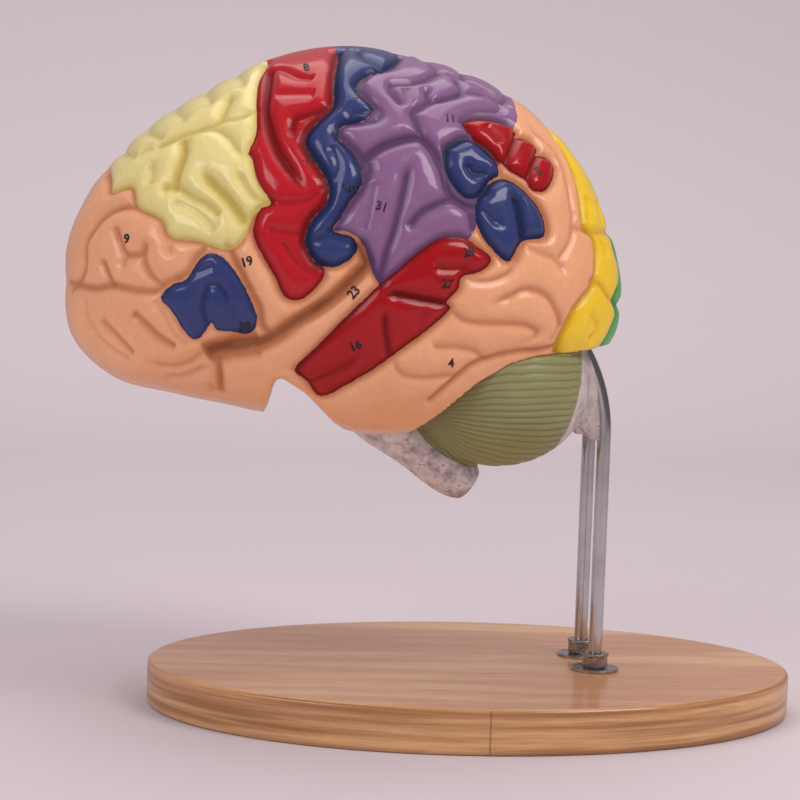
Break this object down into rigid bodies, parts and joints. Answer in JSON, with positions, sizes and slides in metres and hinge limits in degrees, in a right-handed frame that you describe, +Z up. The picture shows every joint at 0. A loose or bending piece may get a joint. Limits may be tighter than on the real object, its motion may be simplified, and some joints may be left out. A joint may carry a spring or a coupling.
{
  "type": "brain anatomy model",
  "caption": "Twice life size teaching model of the human brain with painted areas, in two halves that swing open on rods over an oval wooden board.",
  "frame": {"origin": "middle of the board's underside", "axes": "+Z up, the brain faces -X along the board's length, its left half is on the -Y side"},
  "size_m": [0.4329, 0.26, 0.3819],
  "materials": {
    "varnished_wood": "clear gloss varnish over pale hardwood",
    "polished_rod": "polished chrome plate with fine draw marks",
    "zinc_steel": "bright zinc plate, slightly dulled",
    "stem_plastic": "mottled lilac grey cast plastic, satin, with the cerebellum painted olive",
    "painted_relief": "cast plastic hand painted in flesh, yellow, red, blue, violet and green, satin to gloss",
    "pin_steel": "plain ground steel"
  },
  "bodies": {
    "stand": {"base_board": "varnished_wood", "left_foot_washer": "zinc_steel", "left_lower_washer": "zinc_steel", "right_foot_washer": "zinc_steel", "right_lower_washer": "zinc_steel"},
    "left_half": {"left_foot_nut": "zinc_steel", "left_lock_washer": "zinc_steel", "left_lower_nut": "zinc_steel", "left_support_rod": "polished_rod", "left_stem_casting": "stem_plastic", "left_hemisphere": "painted_relief", "left_locating_pins": "pin_steel"},
    "right_half": {"right_foot_nut": "zinc_steel", "right_lock_washer": "zinc_steel", "right_lower_nut": "zinc_steel", "right_support_rod": "polished_rod", "right_stem_casting": "stem_plastic", "right_hemisphere": "painted_relief", "right_locating_pins": "pin_steel"}
  },
  "joints": [
    {"name": "left_half_swing", "type": "hinge", "parent": "stand", "child": "left_half", "pos_m": [0.0705, -0.021, 0.025], "axis": [0, 0, 1], "range_deg": [0, 90]},
    {"name": "right_half_swing", "type": "hinge", "parent": "stand", "child": "right_half", "pos_m": [0.0705, 0.021, 0.025], "axis": [0, 0, -1], "range_deg": [0, 90]}
  ]
}
